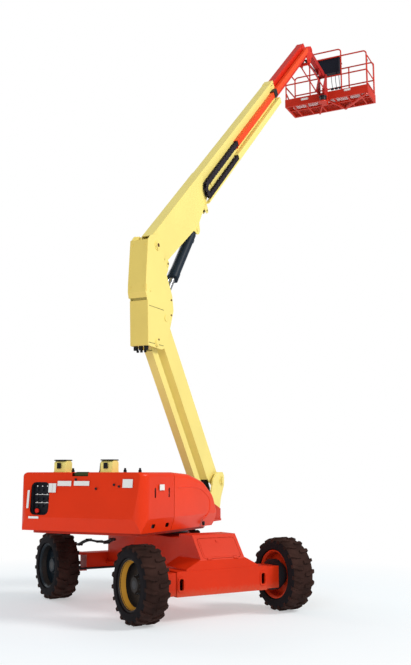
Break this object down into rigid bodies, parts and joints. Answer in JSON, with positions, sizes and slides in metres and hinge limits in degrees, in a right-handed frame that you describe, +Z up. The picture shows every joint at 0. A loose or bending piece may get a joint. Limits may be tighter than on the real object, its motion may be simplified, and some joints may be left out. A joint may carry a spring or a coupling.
{
  "type": "articulating boom lift",
  "caption": "Self-propelled boom lift: steered chassis, slewing turntable, folding tower, telescopic boom with power track, jib and railed work platform.",
  "frame": {"origin": "on the floor below the slewing axis", "axes": "+X the way the booms point, +Y to their left, +Z up"},
  "size_m": [11.1805, 4.1264, 11.957],
  "materials": {
    "machine_red": "gloss orange-red paint",
    "boom_cream": "cream-yellow paint",
    "black_steel": "satin black paint",
    "rod_chrome": "polished",
    "tyre_rubber": "dusty rubber",
    "rim_grey": "satin grey paint",
    "cast_ballast": "rough cast",
    "dark_plastic": "matt moulded",
    "hose_rubber": "matt rubber"
  },
  "bodies": {
    "chassis": {"chassis_frame": "machine_red", "rear_beam": "machine_red", "drive_hubs": "black_steel", "front_axle": "machine_red", "slew_ring": "black_steel"},
    "rear_hatch": {"rear_hatch": "machine_red"},
    "left_knuckle": {"left_knuckle": "black_steel"},
    "right_knuckle": {"right_knuckle": "black_steel"},
    "tie_rod": {"tie_rod": "black_steel"},
    "left_rear_wheel": {"left_rear_tyre": "tyre_rubber", "left_rear_rim": "rim_grey"},
    "right_rear_wheel": {"right_rear_tyre": "tyre_rubber", "right_rear_rim": "rim_grey"},
    "left_front_wheel": {"left_front_tyre": "tyre_rubber", "left_front_rim": "rim_grey"},
    "right_front_wheel": {"right_front_tyre": "tyre_rubber", "right_front_rim": "rim_grey"},
    "turntable": {"turntable_deck": "machine_red", "tower_pedestal": "boom_cream", "tail_casing": "machine_red", "counterweight": "cast_ballast", "battery_pack": "dark_plastic", "power_unit": "black_steel", "ground_controls": "dark_plastic", "boom_rests": "boom_cream"},
    "left_hood": {"left_hood": "machine_red"},
    "right_hood": {"right_hood": "machine_red"},
    "tower": {"tower_boom": "boom_cream"},
    "tower_link": {"tower_link": "boom_cream"},
    "tower_cylinder": {"tower_cylinder": "black_steel"},
    "tower_rod": {"tower_rod": "rod_chrome"},
    "upright": {"upright": "boom_cream", "upright_covers": "boom_cream", "hose_guides": "hose_rubber"},
    "base_boom": {"base_boom": "boom_cream", "track_guide": "boom_cream", "tube_clamp": "black_steel"},
    "fly_boom": {"fly_boom": "machine_red", "push_tube": "machine_red"},
    "power_track": {"power_track": "dark_plastic"},
    "lift_cylinder": {"lift_cylinder": "black_steel"},
    "lift_rod": {"lift_rod": "rod_chrome"},
    "nose_bracket": {"nose_bracket": "machine_red"},
    "jib_boom": {"jib_boom": "machine_red"},
    "jib_link": {"jib_link": "machine_red"},
    "jib_cylinder": {"jib_cylinder": "black_steel"},
    "jib_rod": {"jib_rod": "rod_chrome"},
    "jib_head": {"jib_head": "machine_red", "swing_drive": "black_steel"},
    "platform": {"platform_mount": "machine_red", "platform_floor": "machine_red", "platform_rails": "machine_red", "platform_console": "dark_plastic"},
    "platform_gate": {"platform_gate": "machine_red"}
  },
  "joints": [
    {"name": "rear_hatch_hinge", "type": "hinge", "parent": "chassis", "child": "rear_hatch", "pos_m": [-0.94123, -1.50628, 0.7109], "axis": [0.848, -0.5299, 0], "range_deg": [0, 95]},
    {"name": "left_steer", "type": "hinge", "parent": "chassis", "child": "left_knuckle", "pos_m": [-0.20999, 1.19248, 0.457], "axis": [0, 0, 1], "range_deg": [-35, 35]},
    {"name": "right_steer", "type": "hinge", "parent": "chassis", "child": "right_knuckle", "pos_m": [1.16385, 0.33401, 0.457], "axis": [0, 0, 1], "range_deg": [-36, 36]},
    {"name": "tie_rod_pivot", "type": "hinge", "parent": "left_knuckle", "child": "tie_rod", "pos_m": [-0.31068, 1.03135, 0.405], "axis": [0, 0, 1], "range_deg": [-36, 36]},
    {"name": "left_rear_wheel_spin", "type": "hinge", "parent": "chassis", "child": "left_rear_wheel", "pos_m": [-1.72984, -0.80576, 0.457], "axis": [-0.848, 0.5299, 0], "continuous": true},
    {"name": "right_rear_wheel_spin", "type": "hinge", "parent": "chassis", "child": "right_rear_wheel", "pos_m": [0.0341, -1.90799, 0.457], "axis": [-0.848, 0.5299, 0], "continuous": true},
    {"name": "left_front_wheel_spin", "type": "hinge", "parent": "left_knuckle", "child": "left_front_wheel", "pos_m": [-0.40504, 1.31436, 0.457], "axis": [-0.848, 0.5299, 0], "continuous": true},
    {"name": "right_front_wheel_spin", "type": "hinge", "parent": "right_knuckle", "child": "right_front_wheel", "pos_m": [1.3589, 0.21213, 0.457], "axis": [-0.848, 0.5299, 0], "continuous": true},
    {"name": "slew", "type": "hinge", "parent": "chassis", "child": "turntable", "pos_m": [0, 0, 1], "axis": [0, 0, 1], "range_deg": [-122, 238]},
    {"name": "left_hood_hinge", "type": "hinge", "parent": "turntable", "child": "left_hood", "pos_m": [-0.9, 0.233, 1.733], "axis": [1, 0, 0], "range_deg": [0, 60]},
    {"name": "right_hood_hinge", "type": "hinge", "parent": "turntable", "child": "right_hood", "pos_m": [-0.9, -0.233, 1.733], "axis": [-1, 0, 0], "range_deg": [0, 60]},
    {"name": "tower_lift", "type": "hinge", "parent": "turntable", "child": "tower", "pos_m": [1.85, 0, 1.61], "axis": [0, 1, 0], "range_deg": [-53.1, 20]},
    {"name": "tower_link_pivot", "type": "hinge", "parent": "turntable", "child": "tower_link", "pos_m": [1.58362, 0, 1.21752], "axis": [0, 1, 0], "range_deg": [-53.2, 20.1]},
    {"name": "upright_level", "type": "hinge", "parent": "tower", "child": "upright", "pos_m": [0.06674, 0, 3.9424], "axis": [0, 1, 0], "range_deg": [-20.1, 53.2]},
    {"name": "tower_cylinder_pivot", "type": "hinge", "parent": "turntable", "child": "tower_cylinder", "pos_m": [1.76, 0, 1.415], "axis": [0, 1, 0], "range_deg": [-53, 20.5]},
    {"name": "tower_rod_slide", "type": "slide", "parent": "tower_cylinder", "child": "tower_rod", "axis": [-0.5616, 0, 0.8274], "range_m": [-0.185, 0.075]},
    {"name": "main_lift", "type": "hinge", "parent": "upright", "child": "base_boom", "pos_m": [-0.211, 0, 4.962], "axis": [0, -1, 0], "range_deg": [-42.46, 32.5]},
    {"name": "telescope", "type": "slide", "parent": "base_boom", "child": "fly_boom", "axis": [0.7377, 0, 0.6751], "range_m": [-2.45, 2.3]},
    {"name": "power_track_travel", "type": "slide", "parent": "base_boom", "child": "power_track", "axis": [0.7377, 0, 0.6751], "range_m": [-1.23, 1.16]},
    {"name": "lift_cylinder_pivot", "type": "hinge", "parent": "base_boom", "child": "lift_cylinder", "pos_m": [1.19627, 0, 5.57198], "axis": [0, -1, 0], "range_deg": [-9, 12]},
    {"name": "lift_rod_slide", "type": "slide", "parent": "lift_cylinder", "child": "lift_rod", "axis": [-0.5876, 0, -0.8091], "range_m": [-0.62, 0.48]},
    {"name": "nose_level", "type": "hinge", "parent": "fly_boom", "child": "nose_bracket", "pos_m": [6.75446, 0, 11.20018], "axis": [0, -1, 0], "range_deg": [-32.6, 42.5]},
    {"name": "jib_lift", "type": "hinge", "parent": "nose_bracket", "child": "jib_boom", "pos_m": [7.08, 0, 11.36], "axis": [0, -1, 0], "range_deg": [-47, 63]},
    {"name": "jib_link_pivot", "type": "hinge", "parent": "nose_bracket", "child": "jib_link", "pos_m": [6.86, 0, 10.92], "axis": [0, -1, 0], "range_deg": [-47.1, 63.1]},
    {"name": "jib_head_level", "type": "hinge", "parent": "jib_boom", "child": "jib_head", "pos_m": [8.1792, 0, 11.20552], "axis": [0, -1, 0], "range_deg": [-63.1, 47.1]},
    {"name": "jib_cylinder_pivot", "type": "hinge", "parent": "nose_bracket", "child": "jib_cylinder", "pos_m": [6.93, 0, 11.06], "axis": [0, -1, 0], "range_deg": [-37, 49.5]},
    {"name": "jib_rod_slide", "type": "slide", "parent": "jib_cylinder", "child": "jib_rod", "axis": [0.9998, 0, 0.02], "range_m": [-0.22, 0.295]},
    {"name": "platform_swing", "type": "hinge", "parent": "jib_head", "child": "platform", "pos_m": [8.15, 0, 10.6], "axis": [0, 0, 1], "range_deg": [-90, 90]},
    {"name": "platform_gate_hinge", "type": "hinge", "parent": "platform", "child": "platform_gate", "pos_m": [9.03, -1.028, 11.43], "axis": [0, 0, 1], "range_deg": [0, 85]}
  ],
  "couplings": [
    {"joint": "right_steer", "follows": "left_steer", "ratio": 1},
    {"joint": "tie_rod_pivot", "follows": "left_steer", "ratio": -1},
    {"joint": "tower_link_pivot", "follows": "tower_lift", "ratio": 1},
    {"joint": "upright_level", "follows": "tower_lift", "ratio": -1},
    {"joint": "tower_cylinder_pivot", "follows": "tower_lift", "ratio": 0.9768},
    {"joint": "tower_rod_slide", "follows": "tower_lift", "m_per_rad": 0.1954},
    {"joint": "lift_cylinder_pivot", "follows": "main_lift", "ratio": -0.2641},
    {"joint": "lift_rod_slide", "follows": "main_lift", "m_per_rad": 0.8056},
    {"joint": "nose_level", "follows": "main_lift", "ratio": -1},
    {"joint": "power_track_travel", "follows": "telescope", "ratio": 0.5},
    {"joint": "jib_link_pivot", "follows": "jib_lift", "ratio": 1},
    {"joint": "jib_head_level", "follows": "jib_lift", "ratio": -1},
    {"joint": "jib_cylinder_pivot", "follows": "jib_lift", "ratio": 0.78},
    {"joint": "jib_rod_slide", "follows": "jib_lift", "m_per_rad": 0.26}
  ]
}
